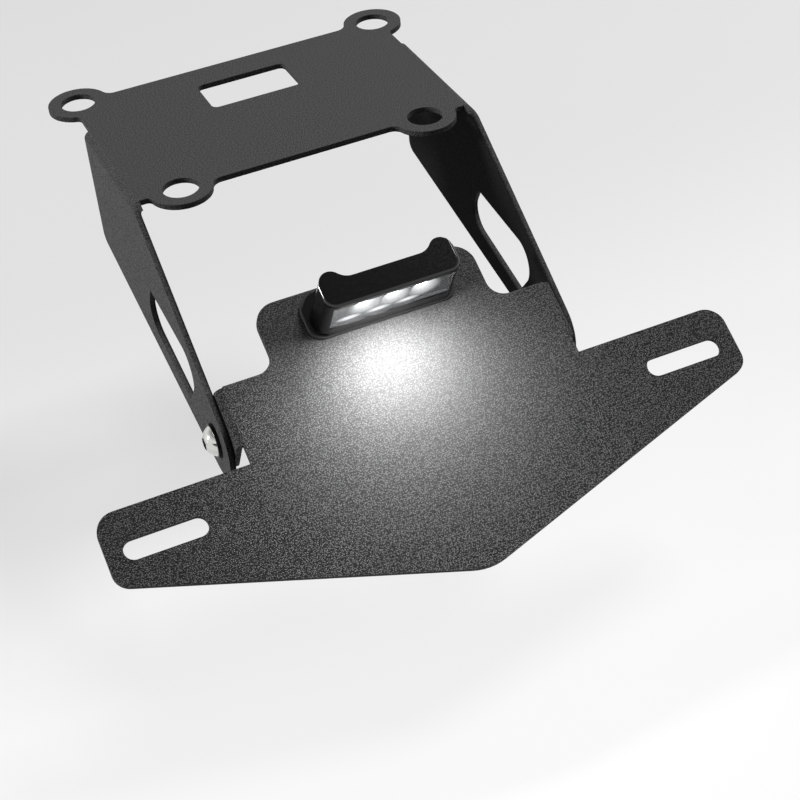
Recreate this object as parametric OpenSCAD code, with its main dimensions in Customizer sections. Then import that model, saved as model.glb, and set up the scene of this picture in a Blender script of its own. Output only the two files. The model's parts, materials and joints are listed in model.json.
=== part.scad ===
// Motorcycle tail tidy.
// A folded sheet bracket bolts under the tail by four ears. A number-plate holder
// tilts between its two side arms, on one clamped screw a side, and carries a lamp.
// X runs across the machine, -Y points rearwards and Z is up. The origin is midway
// between the two rear bolt holes, on the bracket's upper face.

/* [Sheet] */
// Thickness of both folded sheets
sheet_t = 2; // [1.5:0.1:2.5]
// Inside radius of every fold
fold_r = 1; // [0.6:0.1:1.6]

/* [Upper bracket] */
// Width over the two side arms
arms_w = 127.2; // [125:0.2:136]
// Distance between the two front bolt holes
front_holes_w = 118; // [110:0.5:124]
// Distance between the two rear bolt holes
rear_holes_w = 91; // [80:0.5:94]
// Distance from the rear row of bolt holes to the front row
hole_rows_l = 78; // [74:0.5:90]
// Diameter of the four bolt holes
bolt_hole_d = 12.8; // [6:0.1:14]
// Outer radius of the ear round each bolt hole
ear_r = 11; // [9.5:0.1:12]
// Radius that blends an ear into the edge between two ears
ear_inner_blend_r = 4; // [2:0.5:7]
// Radius that blends an ear into the edge next to an arm
ear_outer_blend_r = 2; // [1:0.25:3]
// How far the sheet reaches past each row of holes
edge_past_holes = 0.5; // [0:0.1:2]
// Width of the sheet between the front ears and the arms
front_neck_w = 122.6; // [121:0.2:124]
// Width of the cable window
window_w = 34.3; // [20:0.1:50]
// Front-to-back length of the cable window
window_l = 19.2; // [8:0.1:24]
// Distance from the rear bolt holes to the middle of the cable window
window_y = 56.1; // [40:0.1:60]
// Corner radius of the cable window
window_r = 2.4; // [0.5:0.1:3]

/* [Side arms] */
// Front end of the fold that carries an arm, ahead of the rear bolt holes
arm_front_y = 55.5; // [52:0.5:60]
// Where the arm's rear edge would meet the upper face, behind the rear bolt holes
arm_rear_y = 1.6; // [0.5:0.1:3]
// Lower front corner of an arm, ahead of the rear bolt holes
arm_corner_y = 57; // [50:0.5:62]
// Drop of that corner below the upper face
arm_corner_drop = 45.5; // [42:0.5:56]
// Rounding of that corner
arm_corner_r = 4; // [0.5:0.5:8]
// Radius of the arm's lower end, round the tilt screw
arm_end_r = 13.2; // [12.6:0.1:14]

/* [Arm cut-out] */
// Foremost corner of the cut-out's outline before it is rounded
cutout_front_y = 4.4; // [0:0.1:8]
// Length of that outline
cutout_l = 57.8; // [46:0.2:60]
// Drop of its sharp front corner below the upper face
cutout_top_drop = 32.5; // [31:0.1:34]
// Fall of its upper edge towards the rear, in degrees
cutout_top_fall = 6.8; // [4:0.2:9]
// Drop of its sharp rear corner below the upper face
cutout_bottom_drop = 59.4; // [57:0.1:60]
// Fall of its lower edge towards the rear, in degrees
cutout_bottom_fall = 15.7; // [14:0.1:18]
// Distance back from the foremost corner to the sharp front corner
cutout_front_rake = 9.5; // [6:0.1:13]
// Distance forward from the rearmost corner to the sharp rear corner
cutout_rear_rake = 18; // [12:0.1:20]
// Rounding of the broad front end
cutout_front_r = 8; // [4:0.5:10]
// Rounding of the broad rear end
cutout_rear_r = 9; // [4:0.5:12]
// Rounding of the two sharp corners
cutout_tip_r = 0.8; // [0.4:0.1:2]

/* [Tilt joint] */
// Tilt screws behind the rear bolt holes
pivot_back = 61.5; // [58:0.5:66]
// Drop of the tilt screws below the upper face
pivot_drop = 58.9; // [56:0.1:62]
// Slope of the plate holder from level, in degrees
plate_slope = 31.5; // [15:0.5:60]
// Play between the holder's flanges, the arms and the inner washers
side_play = 0.3; // [0.2:0.05:0.6]
// Radius of the holder's flange, round the tilt screw
flange_end_r = 10.4; // [9:0.1:12]
// Diameter of the tilt screw's shank
screw_d = 6; // [5:0.5:6.5]
// Diameter of the hole for it
screw_hole_d = 6.6; // [6.6:0.1:7.5]
// Length of the tilt screw under its head
screw_l = 16; // [15:0.5:20]
// Diameter of the screw's domed head
screw_head_d = 10.5; // [9.5:0.1:11]
// Height of the screw's domed head
screw_head_h = 3.3; // [3:0.1:4]
// Width across the flats of the hexagon socket
socket_w = 4; // [3:0.5:5]
// Depth of the hexagon socket
socket_depth = 2; // [1:0.1:2.4]
// Diameter of the washers
washer_d = 12; // [11:0.1:14]
// Thickness of the washers
washer_t = 1.2; // [0.8:0.1:1.6]
// Width across the flats of the lock nut
nut_w = 10; // [9:0.1:11]
// Height of the lock nut
nut_h = 6; // [5:0.1:6.5]
// Height of the nylon ring in the lock nut
nut_ring_h = 1.6; // [1:0.1:2]
// Wall of the nut's collar, round the nylon ring
nut_collar_wall = 0.7; // [0.5:0.1:0.9]
// Thickness of metal over each face of the nylon ring
nut_lip = 0.3; // [0.2:0.1:0.5]
// How much narrower than the flats the nut's collar is
nut_collar_step = 0.6; // [0.2:0.1:1]

/* [Plate holder] */
// Distance of the plate face from the tilt screws
pivot_depth = 16.6; // [15.8:0.1:20]
// Distance up the slope from the row of slots to the tilt screws
pivot_up = 31.3; // [30:0.1:34]
// Width over the two wings
wings_w = 225.6; // [215:0.2:240]
// Upper edge of the wings above the row of slots
wing_top = 14; // [11:0.5:15]
// Lower outer corners of the wings below the row of slots
wing_bottom = 9.9; // [8:0.1:14]
// Rounding of the upper outer corners
wing_top_r = 7; // [2:0.5:9]
// Rounding of the lower outer corners
wing_bottom_r = 6; // [2:0.5:8]
// Lowest point of the holder below the row of slots
point_drop = 45.3; // [35:0.1:60]
// Rounding of that point
point_r = 20; // [5:1:30]
// Distance between the middles of the two slots
slots_w = 186; // [180:0.5:192]
// Overall length of a slot
slot_l = 28; // [12:0.5:34]
// Width of a slot
slot_w = 6.9; // [5.5:0.1:8]
// Width of the sheet between the two relief notches
notch_gap_w = 118.4; // [117:0.2:119]
// Radius of a relief notch
notch_r = 2.4; // [1.5:0.1:2.8]
// How far a relief notch cuts into the end of its flange
notch_bite = 0.3; // [0.1:0.1:1]
// How far a shoulder reaches above the end of its flange
shoulder_rise = 0.4; // [0.2:0.1:3]
// Radius between a shoulder and the lamp tab
shoulder_r = 6; // [3:0.5:9]
// Width of the lamp tab
tab_w = 79.6; // [70:0.2:90]
// Top of the lamp tab above the row of slots
tab_up = 65.1; // [64.5:0.1:72]
// Rounding of the tab's corners
tab_r = 8; // [3:0.5:12]

/* [Lamp] */
// Offset of the lamp to the right of the tab's middle
lamp_x = 2; // [-4:0.5:4]
// Distance up the slope from the row of slots to the lamp's screws
lamp_up = 55.1; // [55:0.1:56.5]
// Length of the lamp housing
lamp_l = 48.5; // [47:0.5:54]
// Distance from the lamp's screws to its lens side
lamp_front = 8.8; // [8.4:0.1:10]
// Distance from the lamp's screws to the straight part of its back
lamp_back = 0.4; // [0.2:0.1:1]
// Height of the lamp above the plate face
lamp_h = 24; // [22:0.5:28]
// Wall of the lamp housing
lamp_wall = 1.6; // [1.2:0.1:1.8]
// Slope inwards of the housing's ends, over its height
lamp_draft = 0.2; // [0.1:0.1:1.5]
// Distance between the lamp's two screws
lamp_screws_w = 39; // [36:0.5:40]
// Radius of the lobe over each of the lamp's screws
lobe_r = 4; // [3.6:0.1:4.4]
// Radius that blends a lobe into the back
lobe_blend_r = 6; // [3:0.5:8]
// Rounding of the housing's upright front corners
lamp_corner_r = 4.2; // [1:0.1:4.5]
// Rounding of its upright back corners
lamp_back_r = 1; // [0.5:0.1:2]
// Rounding of the housing's outer edge
lamp_edge_r = 1.2; // [0.5:0.1:2]
// Length of the lens
lens_l = 43; // [36:0.5:44]
// Height of the lens
lens_h = 14; // [10:0.5:14.5]
// Height of the lower lip in front of the lens
lip_h = 4; // [3:0.25:5]
// Thickness of the lens
lens_t = 1.5; // [1:0.1:1.8]
// Least wall of the housing past each end of the lens
lens_end_wall = 1.8; // [1.2:0.1:2]
// How far the lens lies behind the lamp's front
lens_recess = 0.5; // [0.2:0.1:0.8]
// Distance from one light chip to the next
led_pitch = 10.4; // [8:0.1:13]
// Offset of the three light chips to the right of the lamp's middle
leds_x = 1; // [-2:0.25:2]
// Height of the light chips above the lens's lower edge
led_up = 8.8; // [5.5:0.1:9]
// Width of a light chip
led_w = 3.5; // [2.5:0.1:3.8]
// Thickness of a light chip's body
led_t = 0.8; // [0.5:0.1:1]
// Radius of the dome on a light chip
led_dome_r = 1.4; // [0.8:0.1:1.5]
// Thickness of the circuit board
board_t = 1.6; // [1:0.1:1.8]
// Thickness of the reflector
reflector_t = 2.2; // [1.8:0.1:2.4]
// Width left between two cups of the reflector
cup_gap = 1; // [0.4:0.1:2]
// Thickness of the lamp's base
base_t = 2; // [1.5:0.1:2.5]
// How far the base reaches past the housing at each end
base_margin = 1.6; // [1:0.1:3]
// How far the base's front lies behind the housing's front
base_front_inset = 0.9; // [0.5:0.1:1.5]
// Height of the tongue on the base that closes the housing
tongue_h = 1.5; // [1:0.1:3]
// Distance from the lamp's screws to the back edge of the base
base_back = 7.5; // [6.5:0.1:8]
// Rounding of the base's back corners
base_back_r = 6; // [3:0.5:8]
// Rounding of the base's front corners
base_front_r = 5; // [2:0.5:6]
// Thickness of the rubber gasket under the lamp
gasket_t = 1.5; // [1.3:0.1:2]
// How far the gasket shows round the base
gasket_margin = 0.8; // [0.2:0.1:1.2]
// Diameter of the lamp's screws
lamp_screw_d = 4; // [3:0.5:4.5]
// Length of the lamp's screws under their heads
lamp_screw_l = 14; // [10:0.5:18]
// Diameter of the lamp screws' heads
lamp_head_d = 7.5; // [6.5:0.1:8]
// Height of the lamp screws' heads
lamp_head_h = 2.4; // [2:0.1:3]
// Width across the flats of the socket in those heads
lamp_socket_w = 2.5; // [2:0.5:3]
// Thickness of the washers under the lamp screws
lamp_washer_t = 0.8; // [0.5:0.1:1.2]
// Diameter of those washers
lamp_washer_d = 9; // [8:0.1:10]

/* [Cable grommet] */
// Diameter of the hole in the plate holder
grommet_hole_d = 7; // [6:0.1:7.5]
// Diameter of the grommet's two flanges
grommet_d = 10; // [9:0.1:10.4]
// Diameter of the hole for the cable
cable_d = 4; // [3:0.1:4.5]
// Thickness of each flange
grommet_flange_t = 1.2; // [0.8:0.1:1.25]

/* [Hidden] */

$fn = 96;
// Degrees turned by one step of a rounded corner
arc_step = 6;
// Room round a piece that seats in another
fit_gap = 0.1;
// Play of a screw, on the diameter, in a washer and in the lamp's other holes
screw_play = 0.4;
// How far a fold laps into the flat sheet that it joins
fold_lap = 0.2;
// Slope of the chamfer on the lock nut's corners, in degrees
nut_chamfer = 30;
// Overrun of a cut past the faces that it opens
past = 1;

coat = "#474747";
coat_speckled = "#3a3a3a";
stainless = "#d8d8d6";
zinc_black = "#161616";
nylon = "#e8e6de";
gloss_black = "#0d0d0e";
rubber_black = "#1b1b1b";
clear_lens = "#f2f6f8";
bright_tray = "#e4e6e8";
board_white = "#f4f4f0";
led_white = "#ffffff";

// Outer radius of every fold
bend_r = fold_r + sheet_t;
// Inner face of each arm, and outer and inner face of each of the holder's flanges
arm_inner_x = arms_w / 2 - sheet_t;
flange_x = arm_inner_x - side_play;
flange_inner_x = flange_x - sheet_t;
// The tilt axis in the side view
pivot = [-pivot_back, -pivot_drop];
// Level of the inner washers' far faces, measured outwards from an arm's outer face
inner_washer_z = flange_inner_x - side_play - washer_t - arms_w / 2;
// Ends of each flange up the slope, and the shoulders beyond them
flange_low = pivot_up - flange_end_r;
flange_top = pivot_up + flange_end_r;
shoulder_up = flange_top + shoulder_rise;
// Levels of the lamp's stacked pieces above the plate face
base_z = gasket_t;
housing_z = base_z + base_t;
lens_z = housing_z + lip_h;
led_z = lens_z + led_up;
// The housing is never too short for its lens, and its screws keep their distance from its ends
housing_l = max(lamp_l, lens_l + 2 * lens_end_wall);
lobes_w = lamp_screws_w + housing_l - lamp_l;
// Depths of the lamp's inner pieces behind its screw line, from front to back
lens_y = -lamp_front + lens_recess;
reflector_y = lens_y + lens_t + fit_gap;
board_y = reflector_y + reflector_t + fit_gap;
// Room inside the lamp housing, from its front wall to the back of the circuit board
cavity_l = lens_l + 2 * fit_gap;
cavity_front = -lamp_front + lamp_wall;
cavity_w = board_y + board_t + fit_gap - cavity_front;
// Holes that the lamp's screws pass through
lamp_hole_d = lamp_screw_d + screw_play;
// Place of the cable hole, in front of the lamp's screws
cable_y = -2.5;
// Taper of the lamp screws' heads and of the grommet's rear flange, on the diameter
lamp_head_taper = 1.5;
grommet_taper = 1.5;

// Outer diameter of the lock nut's nylon ring
nut_ring_d = nut_w - 2 * nut_collar_wall - nut_collar_step;

// Direction of a vector, at length one
function unit(v) = v / norm(v);

// Vector turned by an angle
function turned(v, angle) = [
    v.x * cos(angle) - v.y * sin(angle),
    v.x * sin(angle) + v.y * cos(angle)
];

// Arc that rounds the corner between two straight edges
function corner_arc(before, corner, after, r) =
    let (
        back = unit(before - corner),
        ahead = unit(after - corner),
        half = acos(back * ahead) / 2,
        centre = corner + unit(back + ahead) * r / sin(half),
        first = corner + back * r / tan(half) - centre,
        side = sign(cross(back, ahead)),
        sweep = -side * (180 - 2 * half),
        steps = ceil(abs(sweep) / arc_step)
    )
    [for (i = [0:steps]) centre + turned(first, sweep * i / steps)];

// Outline whose corners [x, y, r] are rounded, with r = 0 for a sharp one
function rounded(corners) =
    let (n = len(corners))
    [for (i = [0:n - 1])
        let (
            before = corners[(i + n - 1) % n],
            corner = corners[i],
            after = corners[(i + 1) % n]
        )
        each corner[2] == 0
            ? [[corner.x, corner.y]]
            : corner_arc([before.x, before.y], [corner.x, corner.y], [after.x, after.y], corner[2])
    ];

// Right half of a symmetric outline, completed by its mirror image
function both_sides(right) = concat(
    right,
    [for (i = [len(right) - 1:-1:0]) [-right[i].x, right[i].y, right[i][2]]]
);

// Point where the line from a point touches a circle, on the side that the sign gives
function tangent_point(from, centre, r, side) =
    let (
        reach = norm(centre - from),
        along = sqrt(reach * reach - r * r)
    )
    from + along * turned(unit(centre - from), side * asin(r / reach));

// Web that blends a round lobe into the straight edge that it stands out of.
// The edge is level, the lobe rises past it and the web is on the lobe's left.
module lobe_web(lobe, lobe_r, edge_y, web_r) {
    rise = edge_y + web_r - lobe.y;
    reach = lobe_r + web_r;
    centre = [lobe.x - sqrt(reach * reach - rise * rise), edge_y + web_r];
    low = min(edge_y, lobe.y) - past;
    sweep = acos(rise / reach);
    steps = ceil(sweep / arc_step);
    polygon(concat(
        [[centre.x, low], [lobe.x, low], lobe],
        [for (i = [steps:-1:0]) centre + turned([0, -web_r], sweep * i / steps)]
    ));
}

// The same web on a lobe that stands out of an upright edge, below the lobe
module upright_lobe_web(lobe, lobe_r, edge_x, web_r) {
    mirror([1, -1]) lobe_web([lobe.y, lobe.x], lobe_r, edge_x, web_r);
}

// A side view (Y, Z) as a slab between two distances from the middle plane
module side_slab(from_x, to_x) {
    translate([from_x, 0, 0]) rotate([90, 0, 90]) linear_extrude(to_x - from_x) children();
}

// A piece and its mirror image across the middle plane
module mirrored() {
    children();
    mirror([1, 0, 0]) children();
}

// Section of a folded edge at the right: a lap, a quarter bend and the leg below it
module fold_section(outer_x, leg_drop) {
    bend = [outer_x - bend_r, -bend_r];
    intersection() {
        difference() {
            translate(bend) circle(bend_r);
            translate(bend) circle(fold_r);
        }
        translate(bend) square(bend_r);
    }
    translate([bend.x - fold_lap, -sheet_t]) square([fold_lap, sheet_t]);
    translate([outer_x - sheet_t, -leg_drop]) square([sheet_t, leg_drop - bend_r]);
}

// Upper bracket

// One ear of the front row, with the webs on both of its sides
module front_ear() {
    ear = [front_holes_w / 2, hole_rows_l];
    translate(ear) circle(ear_r);
    lobe_web(ear, ear_r, hole_rows_l + edge_past_holes, ear_inner_blend_r);
    upright_lobe_web(ear, ear_r, front_neck_w / 2, ear_outer_blend_r);
}

// One ear of the rear row, drawn as if it stood forward
module rear_ear() {
    ear = [rear_holes_w / 2, 0];
    translate(ear) circle(ear_r);
    lobe_web(ear, ear_r, edge_past_holes, ear_inner_blend_r);
    mirror([1, 0]) lobe_web([-ear.x, ear.y], ear_r, edge_past_holes, ear_outer_blend_r);
}

// Plan of the flat upper sheet between the folds
module top_outline() {
    flat_w = arms_w - 2 * bend_r;
    translate([-flat_w / 2, -edge_past_holes])
        square([flat_w, hole_rows_l + 2 * edge_past_holes]);
    translate([-front_neck_w / 2, arm_front_y])
        square([front_neck_w, hole_rows_l - arm_front_y]);
    mirrored() {
        front_ear();
        mirror([0, 1]) rear_ear();
    }
}

// Side view of an arm: it tapers from the fold to a round end at the tilt screw.
// The fold ends flush with the sheet's rear edge, and below it the arm's edge takes over.
module arm_outline() {
    front_top = [arm_front_y, 0];
    rear_top = [-arm_rear_y, 0];
    corner = [arm_corner_y, -arm_corner_drop];
    upper = tangent_point(rear_top, pivot, arm_end_r, -1);
    below_fold = rear_top - (upper - rear_top) * bend_r / upper.y;
    lower = tangent_point(corner, pivot, arm_end_r, 1);
    polygon(rounded([
        [front_top.x, front_top.y, 0],
        [-edge_past_holes, rear_top.y, 0],
        [below_fold.x, below_fold.y, 0],
        [upper.x, upper.y, 0],
        [pivot.x, pivot.y, 0],
        [lower.x, lower.y, 0],
        [corner.x, corner.y, arm_corner_r]
    ]));
    translate(pivot) circle(arm_end_r);
}

// Leaf-shaped opening that lightens an arm: two sharp corners and two broad ones
module cutout_outline() {
    rear_y = cutout_front_y - cutout_l;
    top = [cutout_front_y - cutout_front_rake, -cutout_top_drop];
    bottom = [rear_y + cutout_rear_rake, -cutout_bottom_drop];
    front_z = bottom.y + (cutout_front_y - bottom.x) * tan(cutout_bottom_fall);
    rear_z = top.y - (top.x - rear_y) * tan(cutout_top_fall);
    polygon(rounded([
        [top.x, top.y, cutout_tip_r],
        [cutout_front_y, front_z, cutout_front_r],
        [bottom.x, bottom.y, cutout_tip_r],
        [rear_y, rear_z, cutout_rear_r]
    ]));
}

module side_arm() {
    intersection() {
        translate([0, arms_w, 0]) rotate([90, 0, 0])
            linear_extrude(2 * arms_w) fold_section(arms_w / 2, pivot_drop + arm_end_r);
        side_slab(arms_w / 2 - bend_r - fold_lap, arms_w / 2) arm_outline();
    }
}

module upper_bracket() {
    color(coat) difference() {
        union() {
            translate([0, 0, -sheet_t]) linear_extrude(sheet_t) top_outline();
            mirrored() side_arm();
        }
        for (side = [-1, 1]) {
            translate([side * front_holes_w / 2, hole_rows_l, -sheet_t - past])
                cylinder(d = bolt_hole_d, h = sheet_t + 2 * past);
            translate([side * rear_holes_w / 2, 0, -sheet_t - past])
                cylinder(d = bolt_hole_d, h = sheet_t + 2 * past);
        }
        translate([0, window_y, -sheet_t - past]) linear_extrude(sheet_t + 2 * past)
            polygon(rounded([
                [window_w / 2, window_l / 2, window_r],
                [-window_w / 2, window_l / 2, window_r],
                [-window_w / 2, -window_l / 2, window_r],
                [window_w / 2, -window_l / 2, window_r]
            ]));
        side_slab(-arms_w, arms_w) cutout_outline();
        side_slab(-arms_w, arms_w) translate(pivot) circle(d = screw_hole_d);
    }
}

// Plate holder, drawn on its own face: X across, Y up the slope from the row of
// slots, Z outwards from the face

// Places a child that is drawn on the plate face
module on_plate() {
    translate([0, pivot.x, pivot.y]) rotate([plate_slope, 0, 0])
        translate([0, -pivot_up, pivot_depth]) children();
}

// Outline of the flat sheet: wings with a shallow point below, and the lamp tab above
module holder_outline() {
    fold_x = flange_x - bend_r;
    polygon(rounded(concat(
        [[0, -point_drop, point_r]],
        both_sides([
            [wings_w / 2, -wing_bottom, wing_bottom_r],
            [wings_w / 2, wing_top, wing_top_r],
            [notch_gap_w / 2, wing_top, 0],
            [notch_gap_w / 2, flange_low, 0],
            [fold_x, flange_low, 0],
            [fold_x, shoulder_up, 0],
            [tab_w / 2, shoulder_up, shoulder_r],
            [tab_w / 2, tab_up, tab_r]
        ])
    )));
}

// Side view of a flange: as wide as its round end, which is centred on the screw
module flange_outline() {
    translate([flange_low, -pivot_depth]) square([2 * flange_end_r, pivot_depth]);
    translate([pivot_up, -pivot_depth]) circle(flange_end_r);
}

module side_flange() {
    intersection() {
        translate([0, tab_up, 0]) rotate([90, 0, 0])
            linear_extrude(tab_up) fold_section(flange_x, pivot_depth + flange_end_r);
        side_slab(flange_x - bend_r - fold_lap, flange_x) flange_outline();
    }
}

// A round-ended slot through the sheet, lying across the holder
module plate_slot() {
    straight = slot_l - slot_w;
    translate([-straight / 2, -slot_w / 2, -sheet_t - past])
        cube([straight, slot_w, sheet_t + 2 * past]);
    for (end = [-1, 1])
        translate([end * straight / 2, 0, -sheet_t - past])
            cylinder(d = slot_w, h = sheet_t + 2 * past);
}

module plate_holder() {
    notch_x = notch_gap_w / 2 + notch_r;
    color(coat_speckled) on_plate() difference() {
        union() {
            translate([0, 0, -sheet_t]) linear_extrude(sheet_t) holder_outline();
            mirrored() side_flange();
        }
        mirrored() {
            translate([slots_w / 2, 0, 0]) plate_slot();
            translate([notch_x, flange_low - notch_r + notch_bite, -bend_r - past])
                cylinder(r = notch_r, h = bend_r + 2 * past);
        }
        side_slab(-arms_w, arms_w) translate([pivot_up, -pivot_depth]) circle(d = screw_hole_d);
        translate([lamp_x, lamp_up, -sheet_t - past]) {
            for (side = [-1, 1])
                translate([side * lobes_w / 2, 0, 0])
                    cylinder(d = lamp_hole_d, h = sheet_t + 2 * past);
            translate([0, cable_y, 0]) cylinder(d = grommet_hole_d, h = sheet_t + 2 * past);
        }
    }
}

// Tilt screws, drawn along Z from the outer face of the right arm and turned to X

// Places a child on the tilt axis, with its Z pointing outwards from an arm's face
module on_pivot(side) {
    translate([side * arms_w / 2, pivot.x, pivot.y]) rotate([0, side * 90, 0]) children();
}

// A hexagonal prism of a given width across its flats
module hexagon(across, height) {
    cylinder(d = across / cos(30), h = height, $fn = 6);
}

module tilt_screw(side) {
    dome_r = (screw_head_d * screw_head_d / 4 + screw_head_h * screw_head_h) / (2 * screw_head_h);
    color(stainless) on_pivot(side) translate([0, 0, washer_t]) {
        difference() {
            intersection() {
                translate([0, 0, screw_head_h - dome_r]) sphere(dome_r);
                cylinder(d = screw_head_d, h = screw_head_h);
            }
            translate([0, 0, screw_head_h - socket_depth]) hexagon(socket_w, socket_depth + past);
        }
        translate([0, 0, -screw_l]) cylinder(d = screw_d, h = screw_l);
    }
}

module washer(outer_d, hole_d, thickness) {
    difference() {
        cylinder(d = outer_d, h = thickness);
        translate([0, 0, -past]) cylinder(d = hole_d, h = thickness + 2 * past);
    }
}

module outer_washer(side) {
    color(zinc_black) on_pivot(side) washer(washer_d, screw_d + screw_play, washer_t);
}

module inner_washer(side) {
    color(stainless) on_pivot(side) translate([0, 0, inner_washer_z])
        washer(washer_d, screw_d + screw_play, washer_t);
}

// Lock nut: a chamfered hexagon with a round collar that holds the nylon ring
module lock_nut(side) {
    hexagon_h = nut_h - nut_ring_h - 2 * nut_lip;
    ring_d = nut_ring_d + fit_gap;
    color(stainless) on_pivot(side) translate([0, 0, inner_washer_z]) mirror([0, 0, 1])
        difference() {
            union() {
                intersection() {
                    hexagon(nut_w, hexagon_h);
                    cylinder(d1 = nut_w, d2 = nut_w + 2 * hexagon_h / tan(nut_chamfer), h = hexagon_h);
                }
                cylinder(d = nut_ring_d + 2 * nut_collar_wall, h = nut_h);
            }
            translate([0, 0, -past]) cylinder(d = screw_d + fit_gap, h = nut_h + 2 * past);
            translate([0, 0, hexagon_h + nut_lip]) cylinder(d = ring_d, h = nut_ring_h);
        }
}

module nut_ring(side) {
    color(nylon) on_pivot(side) translate([0, 0, inner_washer_z - nut_h + nut_lip])
        washer(nut_ring_d, screw_d + fit_gap, nut_ring_h);
}

// Lamp, drawn on the plate face round the line between its two screws

module on_lamp() {
    on_plate() translate([lamp_x, lamp_up, 0]) children();
}

// Places a child at each of the lamp's two screws
module at_lamp_screws() {
    for (side = [-1, 1]) translate([side * lobes_w / 2, 0, 0]) children();
}

// Plan of the base, and of the gasket that shows round it by a margin
module base_outline(margin) {
    half_l = housing_l / 2 + base_margin + margin;
    front = -lamp_front + base_front_inset - margin;
    back = base_back + margin;
    polygon(rounded([
        [half_l, front, base_front_r],
        [half_l, back, base_back_r],
        [-half_l, back, base_back_r],
        [-half_l, front, base_front_r]
    ]));
}

// Plan of the housing: a bar with a round lobe over each screw
module housing_outline() {
    half_l = housing_l / 2;
    lobe = [lobes_w / 2, 0];
    polygon(rounded([
        [half_l, -lamp_front, lamp_corner_r],
        [half_l, lamp_back, lamp_back_r],
        [-half_l, lamp_back, lamp_back_r],
        [-half_l, -lamp_front, lamp_corner_r]
    ]));
    mirrored() {
        translate(lobe) circle(lobe_r);
        lobe_web(lobe, lobe_r, lamp_back, lobe_blend_r);
    }
}

// Front view of the housing: its ends lean in and its outer corners are rounded
module housing_front_view() {
    foot = housing_l / 2;
    polygon(rounded(both_sides([
        [foot, housing_z, 0],
        [foot - lamp_draft, lamp_h, lamp_edge_r]
    ])));
}

// Side view of the housing, with its outer edge rounded at the front
module housing_side_view() {
    back = lobe_r + past;
    polygon(rounded([
        [-lamp_front, housing_z, 0],
        [back, housing_z, 0],
        [back, lamp_h, 0],
        [-lamp_front, lamp_h, lamp_edge_r]
    ]));
}

// What the housing loses at its front right corner, where the rounded edge turns
module corner_waste() {
    edge_r = min(lamp_edge_r, lamp_corner_r - fit_gap);
    low = lamp_h - edge_r;
    centre_x = housing_l / 2 - lamp_draft - lamp_corner_r;
    translate([centre_x, lamp_corner_r - lamp_front, 0]) difference() {
        translate([0, -lamp_corner_r - past, low])
            cube([lamp_corner_r + past, lamp_corner_r + past, edge_r + past]);
        rotate_extrude() polygon(rounded([
            [0, low - past, 0],
            [lamp_corner_r, low - past, 0],
            [lamp_corner_r, lamp_h, edge_r],
            [0, lamp_h, 0]
        ]));
    }
}

module lamp_gasket() {
    color(rubber_black) on_lamp() difference() {
        linear_extrude(gasket_t) base_outline(gasket_margin);
        at_lamp_screws() translate([0, 0, -past])
            cylinder(d = lamp_hole_d, h = gasket_t + 2 * past);
        translate([0, cable_y, -past])
            cylinder(d = grommet_d + 2 * fit_gap, h = gasket_t + 2 * past);
    }
}

// Base: a flat plate with a tongue that fits the housing's open side
module lamp_base() {
    color(gloss_black) on_lamp() difference() {
        union() {
            translate([0, 0, base_z]) linear_extrude(base_t) base_outline(0);
            translate([-cavity_l / 2 + fit_gap, cavity_front + fit_gap, housing_z])
                cube([cavity_l - 2 * fit_gap, cavity_w - 2 * fit_gap, tongue_h]);
        }
        at_lamp_screws() cylinder(d = lamp_hole_d, h = lamp_h);
        translate([0, cable_y, 0]) cylinder(d = cable_d, h = lamp_h);
    }
}

module lamp_housing() {
    color(gloss_black) on_lamp() difference() {
        intersection() {
            linear_extrude(lamp_h) housing_outline();
            translate([0, housing_l / 2, 0]) rotate([90, 0, 0])
                linear_extrude(housing_l) housing_front_view();
            side_slab(-housing_l, housing_l) housing_side_view();
        }
        mirrored() corner_waste();
        // Room for the lens and the light unit, open at the base
        translate([-cavity_l / 2, cavity_front, housing_z - past])
            cube([cavity_l, cavity_w, lamp_h - lamp_wall - housing_z + past]);
        // Window that the lens closes
        translate([-lens_l / 2 - fit_gap, -lamp_front - past, lens_z - fit_gap])
            cube([lens_l + 2 * fit_gap, lamp_wall + 2 * past, lens_h + 2 * fit_gap]);
        // Bores for the screws, in the lobes
        at_lamp_screws() cylinder(d = lamp_screw_d + fit_gap, h = lamp_screw_l);
    }
}

module lamp_lens() {
    color(clear_lens, 0.4) on_lamp() translate([-lens_l / 2, lens_y, lens_z])
        cube([lens_l, lens_t, lens_h]);
}

// Places a child at one light chip, with its Z pointing out through the lens
module at_led(step, depth_y) {
    on_lamp() translate([leds_x + step * led_pitch, depth_y, led_z])
        rotate([90, 0, 0]) children();
}

module lamp_reflector() {
    cup_back_r = led_w / sqrt(2) + fit_gap;
    cup_front_r = (led_pitch - cup_gap) / 2;
    color(bright_tray) difference() {
        on_lamp() translate([-lens_l / 2, reflector_y, lens_z])
            cube([lens_l, reflector_t, lens_h]);
        for (step = [-1:1])
            at_led(step, board_y)
                cylinder(r1 = cup_back_r, r2 = cup_front_r, h = reflector_t + 2 * fit_gap);
    }
}

module lamp_board() {
    color(board_white) on_lamp() translate([-lens_l / 2, board_y, lens_z])
        cube([lens_l, board_t, lens_h]);
}

// A light chip: a flat body on the board with a round phosphor dome
module led(step) {
    color(led_white) at_led(step, board_y) {
        translate([-led_w / 2, -led_w / 2, 0]) cube([led_w, led_w, led_t]);
        translate([0, 0, led_t]) intersection() {
            sphere(led_dome_r, $fn = 48);
            cylinder(r = led_dome_r, h = led_dome_r);
        }
    }
}

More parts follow.
